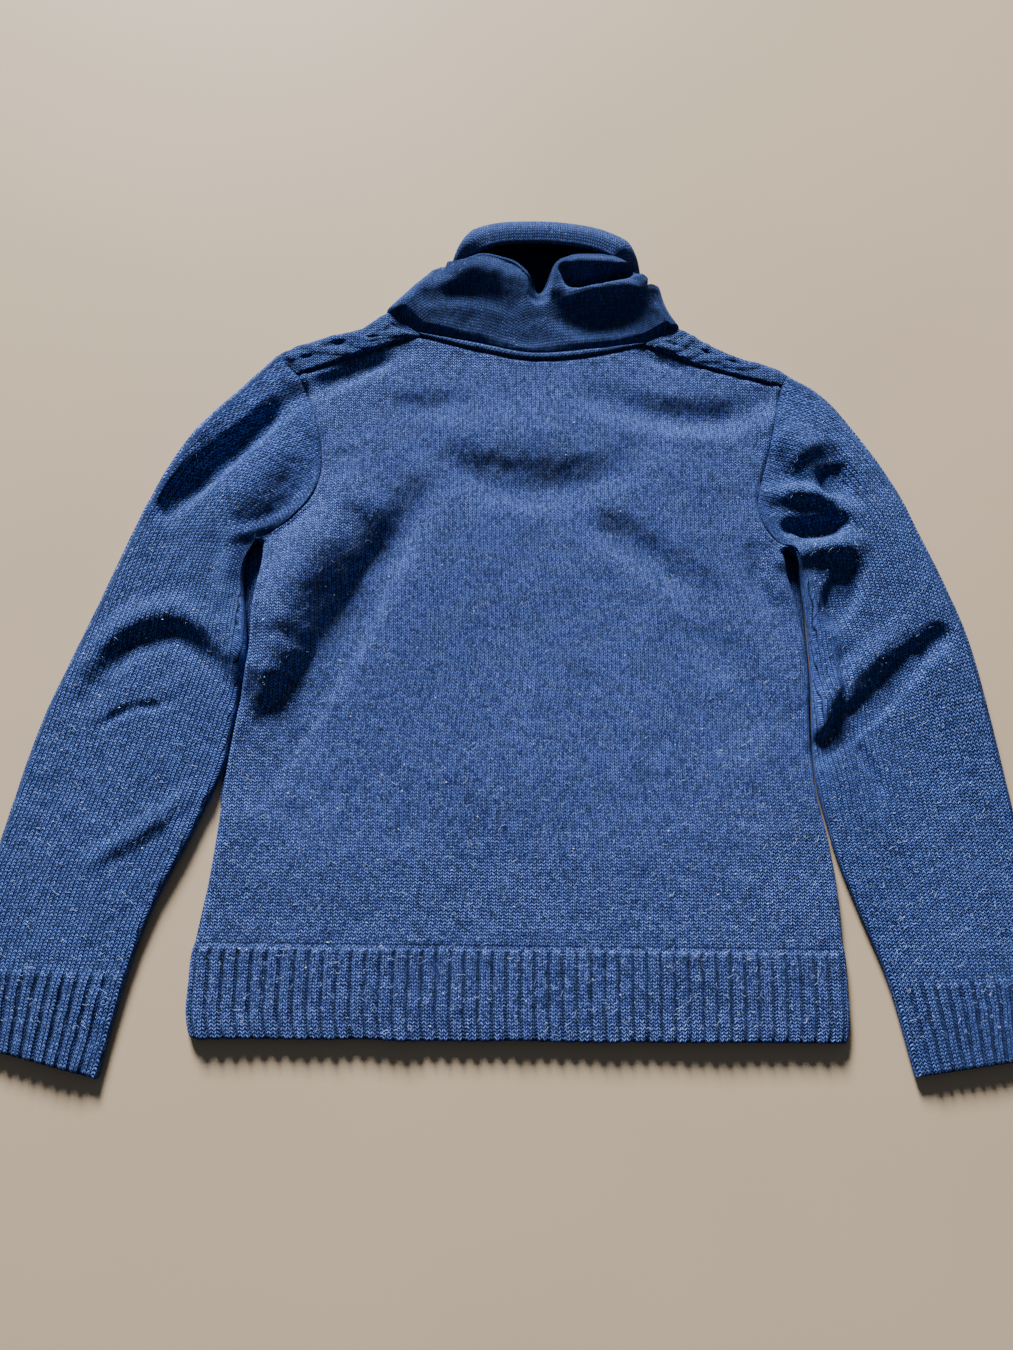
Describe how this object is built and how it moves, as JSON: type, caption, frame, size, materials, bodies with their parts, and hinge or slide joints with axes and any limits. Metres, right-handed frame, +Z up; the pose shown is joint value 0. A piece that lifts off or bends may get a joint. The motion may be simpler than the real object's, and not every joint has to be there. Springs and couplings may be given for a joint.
{
  "type": "pullover sweater",
  "caption": "Knitted pullover sweater with rib hem and cuffs, cabled shoulders and a tall crumpled funnel collar, lying flat on its front with its back up.",
  "frame": {"origin": "on the surface the garment lies on, under the middle of its outline", "axes": "+X to the right across the hem as seen from above, +Y from the hem towards the neck, +Z up from the surface"},
  "size_m": [0.833, 0.733, 0.0381],
  "materials": {
    "front_knit": "cabled wool knit, matt, lightly fuzzy, marled denim blue",
    "body_knit": "plain wool knit, matt, lightly fuzzy, marled denim blue",
    "sleeve_knit": "plain wool knit, matt, lightly fuzzy, marled denim blue",
    "band_knit": "narrow wool band, matt, marled denim blue",
    "collar_knit": "finer, smoother wool knit, matt, marled denim blue"
  },
  "bodies": {
    "root": {"front": "front_knit", "back": "body_knit", "sleeve_left": "sleeve_knit", "sleeve_right": "sleeve_knit", "neckband": "band_knit", "collar": "collar_knit"}
  },
  "joints": []
}
